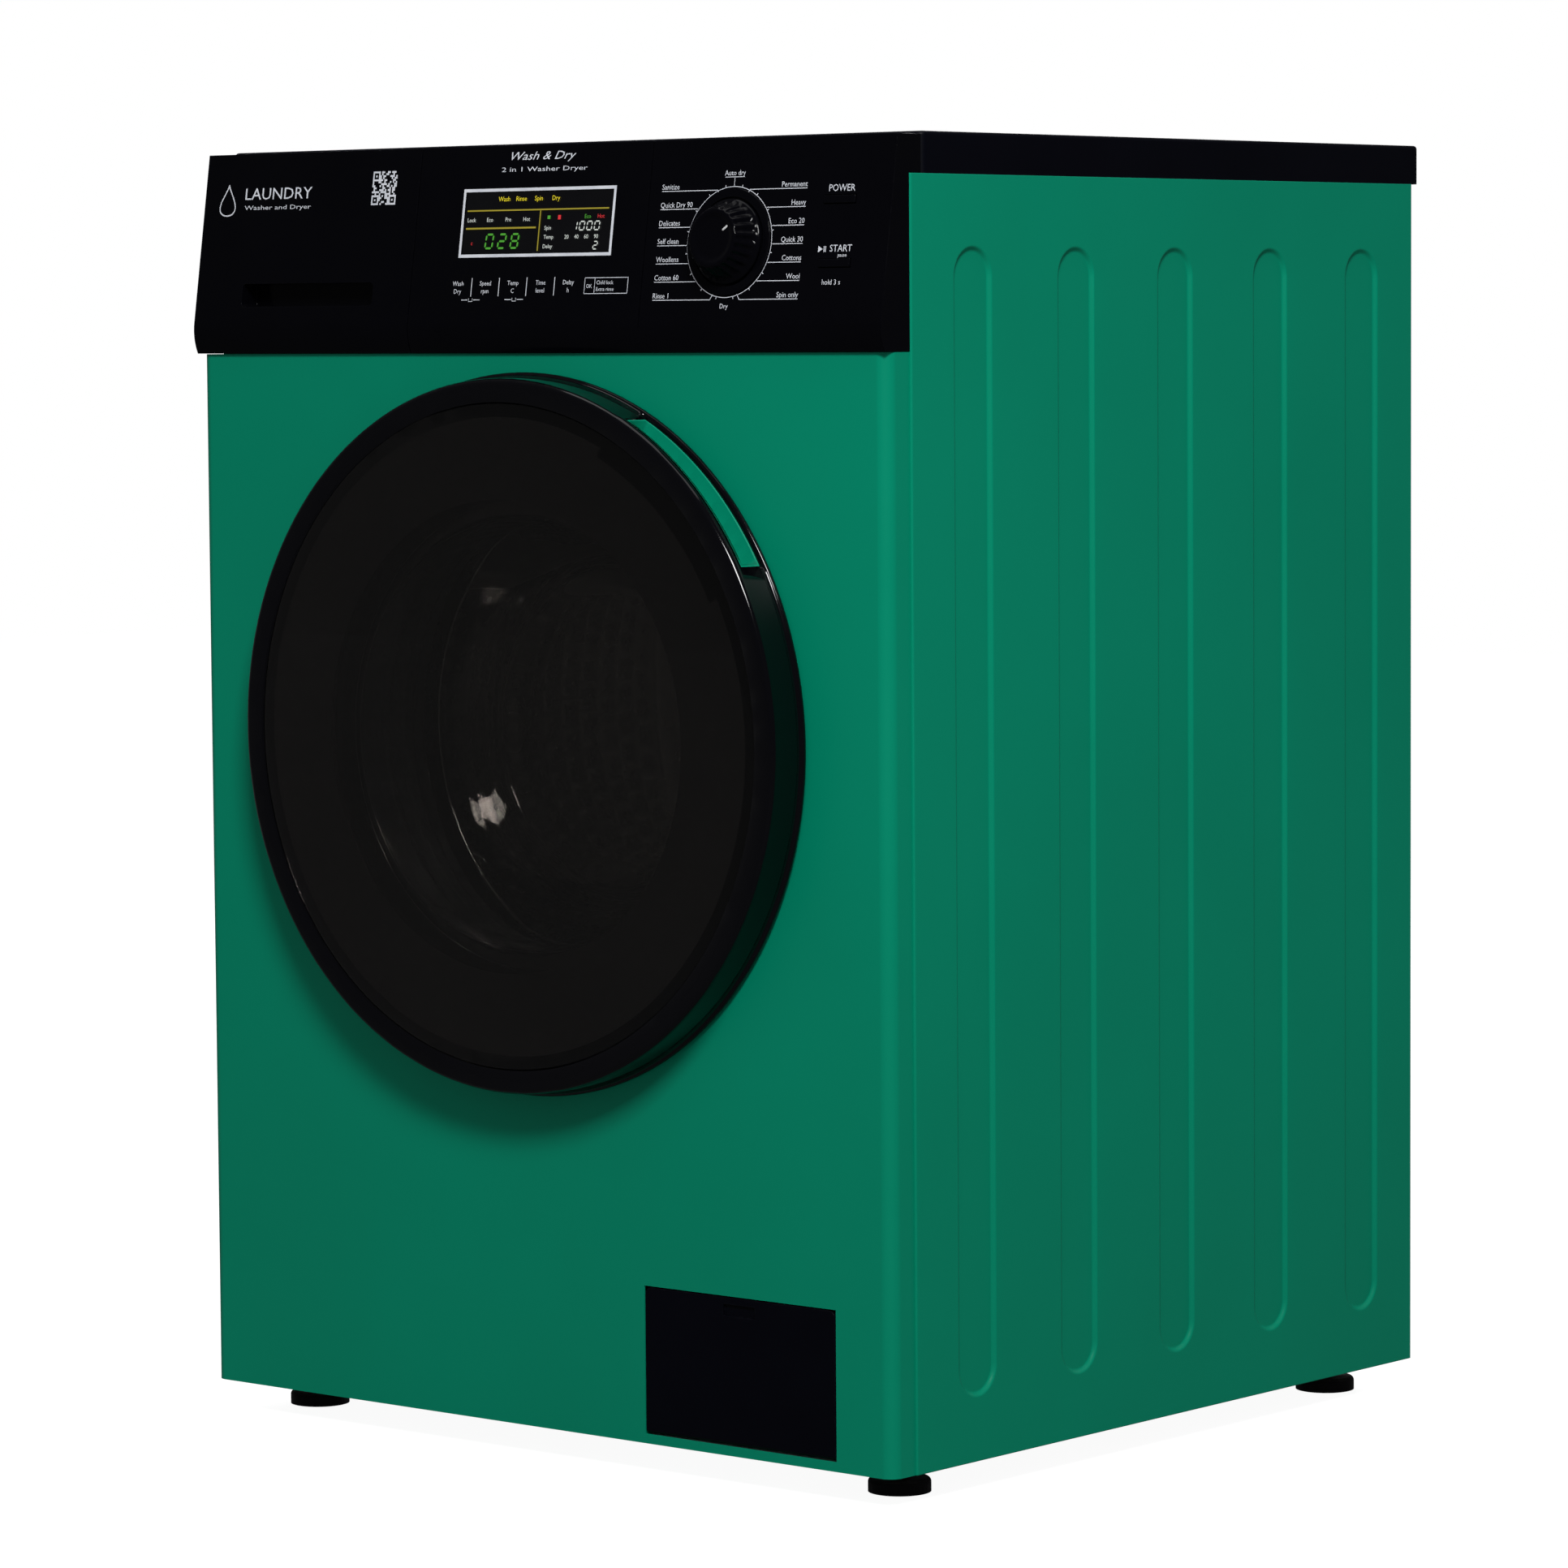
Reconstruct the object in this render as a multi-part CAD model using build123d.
"""Front-loading combination washer-dryer for laundry: every sub-part as its own solid.

Millimetres. +Z is up, the front faces -Y and +X is to the right of a person facing the machine.
The origin is on the floor, under the middle of the whole machine.
Depths are counted from the painted front panel towards the back, so a negative depth stands
proud of that panel. The tub, the drum and the door share one axis along Y, the wash axis.
"""

import os
from math import cos, degrees, radians, sin, sqrt, tan

from build123d import *

# ---------------------------------------------------------------- driving dimensions
WIDTH = 597.0
HEIGHT = 850.0
DOOR_PROUD = 30.0
COVER_BACK = 572.0
SIDE_BACK = COVER_BACK - 9.0
FRONT_Y = (DOOR_PROUD - COVER_BACK) / 2

FOOT_HEIGHT = 20.0
COVER_THICK = 26.0
SIDE_TOP = HEIGHT - COVER_THICK
SHEET = 1.0
SIDE_FRONT = 22.0
FOLD = 8.0

WASH_Z = 470.0
RUN_FIT = 0.05

# ---------------------------------------------------------------- side panel channels
CHANNEL_COUNT = 5
CHANNEL_FIRST = 83.0
CHANNEL_PITCH = (SIDE_BACK - CHANNEL_FIRST - 60.0) / (CHANNEL_COUNT - 1)
CHANNEL_WIDTH = 38.0
CHANNEL_LOW = FOOT_HEIGHT + 41.0
CHANNEL_HIGH = SIDE_TOP - 44.0
CHANNEL_DEPTH = 2.5
CHANNEL_TAPER = 56.0

# ---------------------------------------------------------------- door
DOOR_RADIUS = 229.5
DOOR_FLANGE = DOOR_RADIUS + 3.5
DOOR_FLANGE_DEPTH = 5.0
DOOR_BACK = 1.2
DOOR_WALL = 3.0
GLASS_RADIUS = DOOR_RADIUS - 15.5
GLASS_THICK = 3.0
GLASS_SEAT = 9.0
GLASS_SET_BACK = 0.5
POCKET_START = 30.0
POCKET_END = 62.0
POCKET_REACH = 26.0
POCKET_FLOOR = DOOR_RADIUS - POCKET_REACH
POCKET_RIM = 8.0
GRIP_SHEET = 2.0
HINGE_X = 6.0 - DOOR_FLANGE
HINGE_DEPTH = -17.0
PIN_RADIUS = 3.0
KNUCKLE_RADIUS = 5.5
KNUCKLE_HALF = 23.0
LUG_IN = KNUCKLE_HALF + 0.5
LUG_OUT = LUG_IN + 5.5
LUG_HALF = 4.0
NOTCH_HALF = LUG_OUT + 2.5
HOOK_REACH = 22.0

# ---------------------------------------------------------------- front panel and mouth
PANEL_SIDE_INSET = 1.5
PANEL_CORNER = 9.0
PANEL_GAP = 0.4
MOUTH_RADIUS = DOOR_RADIUS - 57.5
MOUTH_COLLAR = 12.0
HOOK_X = MOUTH_RADIUS + 21.0
BOWL_RADIUS = MOUTH_RADIUS - 22.0
BOWL_END_RADIUS = BOWL_RADIUS - 38.0
BOWL_DEPTH = 104.0
BOWL_WALL = 5.0
BOWL_FLANGE = BOWL_RADIUS + 16.0

# ---------------------------------------------------------------- console
CONSOLE_TOP = HEIGHT - 2.0
CONSOLE_HEIGHT = 132.6
CONSOLE_BASE = CONSOLE_TOP - CONSOLE_HEIGHT
CONSOLE_WALL = 3.0
CONSOLE_HALF = WIDTH / 2 - 1.0
FACE_TOP_DEPTH = 11.5
FACE_LEAN = 8.5
KNEE_Z = CONSOLE_BASE + 20.6
KNEE_BACK_LEAN = 25.0
COVER_FRONT = 33.5
SEAM_X = 100.0
SEAM_GAP = 0.8
DISPLAY_LEFT = -60.0
DISPLAY_RIGHT = 72.0
DISPLAY_LOW = CONSOLE_TOP - 71.4
DISPLAY_HIGH = DISPLAY_LOW + 44.1
DISPLAY_INSET = 0.6
KNOB_X = 170.0
KNOB_Z = CONSOLE_TOP - 64.4
KNOB_RADIUS = 27.0
KNOB_PROUD = 18.0
KNOB_SHAFT = 3.0
KNOB_RING = KNOB_RADIUS + 6.5
KEY_X = CONSOLE_HALF - 41.0
KEY_WIDTH = 25.0
KEY_HEIGHT = 5.0
KEY_GAP = 0.4
KEY_PROUD = 1.0
KEY_DEEP = 7.0
POWER_KEY_Z = CONSOLE_TOP - 39.3
START_KEY_Z = CONSOLE_TOP - 78.4

# ---------------------------------------------------------------- detergent drawer
TRAY_LEFT = -WIDTH / 2 + 12.5
TRAY_RIGHT = -SEAM_X - 12.0
TRAY_BACK = 262.0
TRAY_TOP = SIDE_TOP - 32.0
TRAY_HEIGHT = 63.0
TRAY_BASE = TRAY_TOP - TRAY_HEIGHT
TRAY_WALL = 2.0
TRAY_GAP = 1.0
HOUSING_WALL = 2.0
FRONT_BACK_DEPTH = 18.5
FRAME_FACE_DEPTH = FRONT_BACK_DEPTH + 0.5
GRIP_LEFT = TRAY_LEFT + 31.0
GRIP_RIGHT = TRAY_RIGHT - 22.5
GRIP_LOW = CONSOLE_BASE + 31.1
GRIP_HIGH = GRIP_LOW + 15.0
GRIP_DEEP = 15.0

# ---------------------------------------------------------------- filter flap and drain pump
FLAP_RIGHT = WIDTH / 2 - 47.5
FLAP_LEFT = FLAP_RIGHT - 157.0
FLAP_LOW = FOOT_HEIGHT + 7.0
FLAP_HIGH = FLAP_LOW + 94.0
FLAP_GAP = 0.8
FLAP_THICK = 3.0
FLAP_PIN = 1.6
FLAP_HINGE = SHEET + FLAP_PIN
PUMP_X = (FLAP_LEFT + FLAP_RIGHT) / 2
PUMP_Z = (FLAP_LOW + FLAP_HIGH) / 2
FILTER_BORE = 28.0
FILTER_WALL = 4.0
FILTER_MOUTH = 26.0
FILTER_END = 120.0
CHAMBER_END = FILTER_END + 30.0
PUMP_END = CHAMBER_END + 55.0
PUMP_WALL = 3.0
SUMP_DEPTH = 95.0
SUMP_RADIUS = 18.0
SUMP_JOIN_LOW = PUMP_Z + 51.0
SUMP_JOIN_HIGH = SUMP_JOIN_LOW + 100.0
HOSE_WALL = 2.5

# ---------------------------------------------------------------- tub and drum
TUB_RADIUS = 258.0
TUB_WALL = 3.0
TUB_FRONT = 70.0
TUB_SPLIT = 235.0
TUB_BACK = SIDE_BACK - 130.0
TUB_RIM = 5.0
TUB_MOUTH = MOUTH_RADIUS
DRUM_RADIUS = TUB_RADIUS - 20.0
DRUM_WALL = 1.2
DRUM_FRONT = TUB_FRONT + 24.0
DRUM_BACK = TUB_BACK - 35.0
DRUM_MOUTH = TUB_MOUTH - 6.0
SPIDER_THICK = 22.0
SHAFT_RADIUS = 12.5
HUB_RADIUS = 38.0
HUB_END = TUB_BACK + 33.0
BEARING_RADIUS = 26.0
BEARING_WIDTH = 15.0
PULLEY_RADIUS = 140.0
PULLEY_FRONT = HUB_END + 8.0
PULLEY_WIDTH = 18.0
SHAFT_END = PULLEY_FRONT + PULLEY_WIDTH + 8.0
MOTOR_X = -40.0
MOTOR_RADIUS = 60.0
MOTOR_Z = WASH_Z - TUB_RADIUS - MOTOR_RADIUS - 26.0
MOTOR_BACK = PULLEY_FRONT - 19.0
MOTOR_FRONT = MOTOR_BACK - 130.0
MOTOR_SHAFT = 6.0
MOTOR_PULLEY = 12.0
BELT_THICK = 3.0
BELT_GAP = 0.3
PADDLE_HEIGHT = 46.0
PADDLE_WIDTH = 44.0

# ---------------------------------------------------------------- suspension
SPRING_X = WIDTH / 2 - 46.5
SPRING_DEPTHS = (288.0, 396.0)
SPRING_RADIUS = 11.0
SPRING_LOW = WASH_Z + 170.0
DAMPER_X = 150.0
DAMPER_DEPTH = 262.0
ROD_RADIUS = 7.0
ROD_TOP = 205.0
DAMPER_TUBE = 14.0
DAMPER_TOP = WASH_Z - 220.0
DAMPER_LOW = DAMPER_TOP - 155.0
DAMPER_SHELL = 4.0

# ---------------------------------------------------------------- drying system
DUCT_LEFT = 92.0
DUCT_RIGHT = 204.0
DUCT_LOW = WASH_Z + TUB_RADIUS - 4.0
DUCT_HIGH = DUCT_LOW + 58.0
DUCT_FRONT = 120.0
DUCT_WALL = 2.5
FAN_X = (DUCT_LEFT + DUCT_RIGHT) / 2
FAN_DEPTH = 372.0
SCROLL_RADIUS = 66.0
FAN_RADIUS = 54.0
FAN_PIN = 4.0

# ---------------------------------------------------------------- base, frame and back
TRAY_FLOOR = 3.0
BASE_TOP = FOOT_HEIGHT + 40.0
BASE_FRONT = SIDE_FRONT + SHEET
BACK_PLATE = SIDE_BACK - 2 * SHEET
FOOT_X = WIDTH / 2 - 43.5
FOOT_DEPTHS = (58.0, SIDE_BACK - 41.0)
FOOT_PAD = 20.0
STUD_RADIUS = 5.0
STUD_TOP = FOOT_HEIGHT + 28.0
BOSS_RADIUS = 11.0
BOSS_TOP = STUD_TOP + 4.0
FRAME_LOW = SIDE_TOP - 22.0
FRAME_SHEET = 2.0
RAIL_WIDTH = 75.5
VALVE_X = (-WIDTH / 2 + 63.5, -WIDTH / 2 + 118.5)
VALVE_Z = SIDE_TOP - 72.0
VALVE_THREAD = 13.2
VALVE_FACE = BACK_PLATE - 7.0
CONNECTOR_END = COVER_BACK - 1.0
DRAIN_X = -WIDTH / 2 + 83.5
DRAIN_Z = 112.0
DRAIN_RADIUS = 10.5
BOARD_BACK = SIDE_BACK - 23.0
BOARD_FRONT = BOARD_BACK - 126.0
BOARD_HEIGHT = 92.0
GLAND_X = WIDTH / 2 - 83.5
GLAND_Z = SIDE_TOP - 124.0
GLAND_BORE = 4.5
ACCESS_HALF = PULLEY_RADIUS + 30.0
ACCESS_LOW = WASH_Z - 220.0
ACCESS_HIGH = WASH_Z + ACCESS_HALF
ACCESS_LAP = 10.0
SCREW_ROWS = (BASE_TOP, SIDE_TOP * 0.36, SIDE_TOP * 0.66, SIDE_TOP - 34.0)
SCREW_INSET = 11.0
SCREW_HEAD = 4.0
SCREW_PROUD = 2.2
ACCESS_SCREW = ACCESS_LAP / 2

os.makedirs("parts", exist_ok=True)
node_count = 0


# ---------------------------------------------------------------- shared shapes
def deep(depth):
    """Y of a depth behind the painted front panel."""
    return FRONT_Y + depth


def slab(x0, x1, d0, d1, z0, z1):
    """Box between two X, two depths and two Z, each pair in either order."""
    size = (abs(x1 - x0), abs(d1 - d0), abs(z1 - z0))
    return Pos((x0 + x1) / 2, deep((d0 + d1) / 2), (z0 + z1) / 2) * Box(*size)


def rod_along(axis, radius, low, high, a=0.0, b=0.0):
    """Cylinder along X, Y (by depth) or Z, with its other two places a and b."""
    middle = (low + high) / 2
    if axis == "x":
        return Pos(middle, deep(a), b) * Rot(0, 90, 0) * Cylinder(radius, high - low)
    if axis == "y":
        return Pos(a, deep(middle), b) * Rot(90, 0, 0) * Cylinder(radius, high - low)
    return Pos(a, deep(b), middle) * Cylinder(radius, high - low)


def pipe(axis, outer, bore, low, high, a=0.0, b=0.0):
    """Round pipe: rod_along with a bore cut through it."""
    return rod_along(axis, outer, low, high, a, b) - rod_along(axis, bore, low - 1, high + 1, a, b)


def turned(points, x=0.0, z=WASH_Z):
    """Ring turned about an axis along Y from an outline of (radius, depth) points."""
    outline = make_face(Polyline([(r, deep(d)) for r, d in points], close=True))
    return Pos(x, 0, z) * revolve(outline, Axis.Y)


def sector(inner, outer, d0, d1, start, end):
    """Piece of a ring about the wash axis between two angles, counted from +X towards +Z."""
    ring = turned([(inner, d0), (outer, d0), (outer, d1), (inner, d1)])
    span = end - start
    wedge = Plane.XZ * make_face(
        Polyline(
            [(0, 0)]
            + [
                (2 * outer * cos(radians(start + span * k / 4)), 2 * outer * sin(radians(start + span * k / 4)))
                for k in range(5)
            ],
            close=True,
        )
    )
    wedge = Pos(0, deep(d1) + 1, WASH_Z) * extrude(wedge, amount=abs(d1 - d0) + 2)
    return ring & wedge


def save(name, *solids):
    """Write one node to its STEP file; several solids make a group."""
    global node_count
    shape = solids[0] if len(solids) == 1 else Compound(children=list(solids))
    pieces = shape.solids()
    if len(solids) == 1 and len(pieces) == 1:
        shape = pieces[0]
    export_step(shape, f"parts/{name}.step")
    node_count += 1
    print(name, len(pieces), round(sum(piece.volume for piece in pieces) / 1000, 1), "cm3")


# ---------------------------------------------------------------- cabinet sheet metal
def side_panel(side):
    """Side sheet with folded front and rear edges and five pressed channels."""
    outer = side * WIDTH / 2
    skin = slab(outer - side * SHEET, outer, SIDE_FRONT, SIDE_BACK, FOOT_HEIGHT, SIDE_TOP)
    front = slab(outer - side * FOLD, outer, SIDE_FRONT, SIDE_FRONT + SHEET, FOOT_HEIGHT, SIDE_TOP)
    back = slab(outer - side * 2 * FOLD, outer, SIDE_BACK - SHEET, SIDE_BACK, FOOT_HEIGHT, SIDE_TOP)
    panel = skin + front + back
    corner = panel.edges().filter_by(Axis.Z).sort_by(Axis.Y)[:2]
    corner = ShapeList(corner).sort_by(Axis.X)[-1 if side > 0 else 0]
    panel = fillet(corner, SHEET * 0.9)
    length = CHANNEL_HIGH - CHANNEL_LOW
    middle = (CHANNEL_HIGH + CHANNEL_LOW) / 2
    for k in range(CHANNEL_COUNT):
        place = Plane(
            origin=(outer, deep(CHANNEL_FIRST + k * CHANNEL_PITCH), middle),
            x_dir=(0, 1, 0),
            z_dir=(-side, 0, 0),
        )
        grown = SlotOverall(length + 2 * SHEET, CHANNEL_WIDTH + 2 * SHEET, rotation=90)
        panel += extrude(place * grown, amount=CHANNEL_DEPTH + SHEET, taper=CHANNEL_TAPER)
        mouth = SlotOverall(length, CHANNEL_WIDTH, rotation=90)
        panel -= extrude(place * mouth, amount=CHANNEL_DEPTH, taper=CHANNEL_TAPER)
    return panel


def front_panel():
    """Pan-shaped front sheet with the door mouth, the flap opening and the slots."""
    half = WIDTH / 2 - PANEL_SIDE_INSET
    top = CONSOLE_BASE - PANEL_GAP
    outer = slab(-half, half, 0, SIDE_FRONT, FOOT_HEIGHT, top)
    outer = fillet(outer.edges().filter_by(Axis.Z).sort_by(Axis.Y)[:2], PANEL_CORNER)
    inner = slab(
        -half + SHEET, half - SHEET, SHEET, SIDE_FRONT + 1, FOOT_HEIGHT + SHEET, top - SHEET
    )
    inner = fillet(inner.edges().filter_by(Axis.Z).sort_by(Axis.Y)[:2], PANEL_CORNER - SHEET)
    panel = outer - inner
    panel += pipe("y", MOUTH_RADIUS, MOUTH_RADIUS - SHEET, 0, MOUTH_COLLAR, 0, WASH_Z)
    panel -= rod_along("y", MOUTH_RADIUS - SHEET, -1, MOUTH_COLLAR + 1, 0, WASH_Z)
    panel -= slab(
        FLAP_LEFT - FLAP_GAP, FLAP_RIGHT + FLAP_GAP, -1, SHEET + 1, FLAP_LOW - FLAP_GAP, FLAP_HIGH + FLAP_GAP
    )
    axis_depth = FLAP_HINGE
    axis_z = FLAP_LOW + FLAP_HINGE
    for low in (FLAP_LEFT - FLAP_GAP - 4, FLAP_RIGHT + FLAP_GAP):
        ear = slab(low, low + 4, SHEET, axis_depth + 4, axis_z - 5, axis_z + 5)
        panel += ear - rod_along("x", FLAP_PIN + RUN_FIT, low - 1, low + 5, axis_depth, axis_z)
    for z in (-1, 1):
        middle = WASH_Z + z * (LUG_IN + LUG_OUT) / 2
        panel -= slab(
            HINGE_X - LUG_HALF - 1, HINGE_X + LUG_HALF + 1, -1, SHEET + 1, middle - 4.5, middle + 4.5
        )
    panel -= slab(HOOK_X - 5, HOOK_X + 13, -1, SHEET + 1, WASH_Z - 14, WASH_Z + 14)
    return panel


def base_tray():
    """Steel base pan with four bosses for the feet and a notch for the filter."""
    half = WIDTH / 2 - SHEET
    tray = slab(-half, half, BASE_FRONT, BACK_PLATE, FOOT_HEIGHT, BASE_TOP)
    tray -= slab(
        -half + 2, half - 2, BASE_FRONT + 2, BACK_PLATE - 2, FOOT_HEIGHT + TRAY_FLOOR, BASE_TOP + 1
    )
    tray -= slab(
        PUMP_X - 42, PUMP_X + 42, BASE_FRONT - 1, BASE_FRONT + 3, FOOT_HEIGHT + TRAY_FLOOR, BASE_TOP + 1
    )
    for x in (-FOOT_X, FOOT_X):
        for depth in FOOT_DEPTHS:
            tray += rod_along("z", BOSS_RADIUS, FOOT_HEIGHT, BOSS_TOP, x, depth)
            tray -= rod_along("z", STUD_RADIUS + RUN_FIT, FOOT_HEIGHT - 1, BOSS_TOP + 1, x, depth)
    for x in (-DAMPER_X, DAMPER_X):
        tray += slab(x - 14, x + 14, DAMPER_DEPTH - 14, DAMPER_DEPTH + 14, FOOT_HEIGHT, FOOT_HEIGHT + 12)
    return tray


def foot(x, depth):
    """Levelling foot: round pad, stud and lock nut in one piece."""
    pad = rod_along("z", FOOT_PAD, 0, 9, x, depth)
    pad = fillet(pad.edges().sort_by(Axis.Z)[-1], 3)
    stud = rod_along("z", STUD_RADIUS, 8, STUD_TOP, x, depth)
    nut = Pos(x, deep(depth), 12.5) * extrude(RegularPolygon(9, 6), amount=7)
    return pad + stud + nut


def top_frame():
    """Channel-section frame under the cover that ties the side panels together."""
    half = WIDTH / 2 - SHEET
    front = COVER_FRONT - 8.5
    window = half - RAIL_WIDTH
    outer = slab(-half, half, front, BACK_PLATE, FRAME_LOW, SIDE_TOP)
    frame = outer - slab(-window, window, front + 34, BACK_PLATE - 60, FRAME_LOW - 1, SIDE_TOP + 1)
    skin = FRAME_SHEET
    channel = slab(
        -half + skin, half - skin, front + skin, BACK_PLATE - skin, FRAME_LOW - 1, SIDE_TOP - skin
    )
    core = slab(
        -window - skin, window + skin, front + 34 - skin, BACK_PLATE - 60 + skin, FRAME_LOW - 2, SIDE_TOP
    )
    return frame - (channel - core)


def top_cover():
    """Moulded worktop: a thick rounded lid, hollow underneath inside a broad rim."""
    half = WIDTH / 2
    cover = slab(-half, half, COVER_FRONT, COVER_BACK, SIDE_TOP, HEIGHT)
    cover = fillet(cover.edges().filter_by(Axis.Z), 5)
    cover = fillet(cover.faces().sort_by(Axis.Z)[-1].edges(), 2.5)
    hollow = slab(-half + 16, half - 16, COVER_FRONT + 12, COVER_BACK - 26, SIDE_TOP - 1, HEIGHT - 4)
    return cover - hollow


def back_panel():
    """Rear sheet with the access hole and clearance holes for the connectors."""
    half = WIDTH / 2 - SHEET
    panel = slab(-half, half, BACK_PLATE, BACK_PLATE + SHEET, FOOT_HEIGHT, SIDE_TOP)
    panel -= slab(-ACCESS_HALF, ACCESS_HALF, BACK_PLATE - 1, BACK_PLATE + 2, ACCESS_LOW, ACCESS_HIGH)
    for x in VALVE_X:
        panel -= rod_along("y", VALVE_THREAD + 10, BACK_PLATE - 1, BACK_PLATE + 2, x, VALVE_Z)
    panel -= rod_along("y", DRAIN_RADIUS + 6, BACK_PLATE - 1, BACK_PLATE + 2, DRAIN_X, DRAIN_Z)
    panel -= rod_along("y", GLAND_BORE + 2, BACK_PLATE - 1, BACK_PLATE + 2, GLAND_X, GLAND_Z)
    return panel


def rear_access_cover():
    """Shallow pressed lid over the access hole in the rear sheet."""
    flat = BACK_PLATE + SHEET
    lap = ACCESS_LAP
    cover = slab(
        -ACCESS_HALF - lap, ACCESS_HALF + lap, flat, flat + SHEET, ACCESS_LOW - lap, ACCESS_HIGH + lap
    )
    cover = fillet(cover.edges().filter_by(Axis.Y), 12)
    width = 2 * ACCESS_HALF - 30
    height = ACCESS_HIGH - ACCESS_LOW - 30
    place = Plane(
        origin=(0, deep(flat), (ACCESS_LOW + ACCESS_HIGH) / 2), x_dir=(1, 0, 0), z_dir=(0, 1, 0)
    )
    cover += extrude(place * RectangleRounded(width, height, 26), amount=8, taper=40)
    cover -= extrude(place * RectangleRounded(width - 2, height - 2, 25), amount=7, taper=40)
    return cover


# ---------------------------------------------------------------- console and its pieces
def face_depth(z):
    """Depth of the leaning console face at a height above its knee."""
    return FACE_TOP_DEPTH - tan(radians(FACE_LEAN)) * (CONSOLE_TOP - z)


def on_face(x, z):
    """Plane on the leaning face, with its normal pointing out at the user."""
    lean = radians(FACE_LEAN)
    return Plane(origin=(x, deep(face_depth(z)), z), x_dir=(1, 0, 0), z_dir=(0, -cos(lean), sin(lean)))


def console_outline(inset, back_depth):
    """Closed section of the console in the Y-Z plane, moved inwards by a wall."""
    turn = FACE_LEAN + KNEE_BACK_LEAN
    lean = radians(FACE_LEAN)
    radius = (KNEE_Z - CONSOLE_BASE) / (sin(lean) + sin(radians(KNEE_BACK_LEAN)))
    knee = (deep(face_depth(KNEE_Z)) + inset, KNEE_Z)
    top = (deep(face_depth(CONSOLE_TOP - inset)) + inset, CONSOLE_TOP - inset)
    curl = JernArc(start=knee, tangent=(-sin(lean), -cos(lean)), radius=radius, arc_size=turn)
    end = curl @ 1
    corners = [(end.X, end.Y)]
    if inset:
        corners.append((end.X, end.Y + inset))
    corners += [(deep(back_depth), end.Y + inset), (deep(back_depth), CONSOLE_TOP - inset), top]
    return Plane.YZ * make_face(Curve() + [Line(top, knee), curl, Polyline(corners)])


def console_block(x0, x1, inset, back_depth):
    """Console section carried along X between two places."""
    return Pos(x0, 0, 0) * extrude(console_outline(inset, back_depth), amount=x1 - x0)


def control_console():
    """Gloss console: hollow fascia on the right and a frame behind the drawer front."""
    left = -SEAM_X
    wall = CONSOLE_WALL
    body = console_block(left, CONSOLE_HALF, 0, SIDE_FRONT)
    body += slab(left, CONSOLE_HALF, SIDE_FRONT - 1, COVER_FRONT, SIDE_TOP + 0.5, CONSOLE_TOP)
    body -= console_block(left + wall, CONSOLE_HALF - wall, wall, SIDE_FRONT + 1)
    body -= slab(
        left + wall, CONSOLE_HALF - wall, SIDE_FRONT - 1, COVER_FRONT + 1, SIDE_TOP, CONSOLE_TOP - wall
    )
    body += slab(-CONSOLE_HALF, left + wall, FRAME_FACE_DEPTH, SIDE_FRONT, CONSOLE_BASE, CONSOLE_TOP)
    body += slab(
        -CONSOLE_HALF, left + wall, FRAME_FACE_DEPTH, COVER_FRONT, CONSOLE_TOP - wall, CONSOLE_TOP
    )
    body -= slab(
        TRAY_LEFT - TRAY_GAP,
        TRAY_RIGHT + TRAY_GAP,
        FRAME_FACE_DEPTH - 1,
        SIDE_FRONT + 1,
        TRAY_BASE - TRAY_GAP,
        TRAY_TOP + TRAY_GAP,
    )
    body -= extrude(on_face(SEAM_X, KNOB_Z) * Rectangle(SEAM_GAP, 300), amount=-0.6)
    body -= extrude(display_area(0), amount=wall + 4, both=True)
    knob = on_face(KNOB_X, KNOB_Z)
    body += extrude(knob * Circle(KNOB_RING), amount=1.4)
    body -= extrude(knob * Circle(KNOB_RADIUS + 1.2), amount=5)
    body -= extrude(knob * Circle(KNOB_SHAFT + 1), amount=8, both=True)
    for key_z in (POWER_KEY_Z, START_KEY_Z):
        hole = on_face(KEY_X, key_z) * Rectangle(KEY_WIDTH + 2 * KEY_GAP, KEY_HEIGHT + 2 * KEY_GAP)
        body -= extrude(hole, amount=wall + 4, both=True)
    return body


def display_area(back, grow=0.0):
    """Rectangle of the display on the leaning face, or parallel to it and further in."""
    height = (DISPLAY_HIGH - DISPLAY_LOW) / cos(radians(FACE_LEAN))
    place = on_face((DISPLAY_LEFT + DISPLAY_RIGHT) / 2, (DISPLAY_LOW + DISPLAY_HIGH) / 2)
    return place.offset(-back) * Rectangle(DISPLAY_RIGHT - DISPLAY_LEFT + grow, height + grow)


def display_module():
    """Screen and its board, filling the window of the console from behind."""
    back = CONSOLE_WALL / cos(radians(FACE_LEAN)) + 0.02
    screen = extrude(display_area(back), amount=back - DISPLAY_INSET)
    board = extrude(display_area(back + 6, 6), amount=6)
    return screen + board


def selector_switch():
    """Rotary switch behind the knob, with the hole its shaft turns in."""
    back = CONSOLE_WALL / cos(radians(FACE_LEAN)) + 0.02
    place = on_face(KNOB_X, KNOB_Z).offset(-back - 8)
    body = extrude(place * RectangleRounded(26, 26, 3), amount=8)
    bore = extrude(place.offset(1.5) * Circle(KNOB_SHAFT + RUN_FIT), amount=8)
    return body - bore


def selector_knob():
    """Programme knob: domed cap, gripped rim and the shaft on its axis."""
    place = on_face(KNOB_X, KNOB_Z)
    base = extrude(place.offset(0.5) * Circle(KNOB_RADIUS), amount=KNOB_PROUD - 4.5)
    crown = extrude(place.offset(KNOB_PROUD - 4) * Circle(KNOB_RADIUS), amount=4, taper=25)
    shaft = extrude(place.offset(-7) * Circle(KNOB_SHAFT), amount=8)
    return base + crown + shaft


def push_key(key_z):
    """Bar key with a guide stem behind the console wall."""
    place = on_face(KEY_X, key_z)
    return extrude(place.offset(-KEY_DEEP) * Rectangle(KEY_WIDTH, KEY_HEIGHT), amount=KEY_DEEP + KEY_PROUD)


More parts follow.
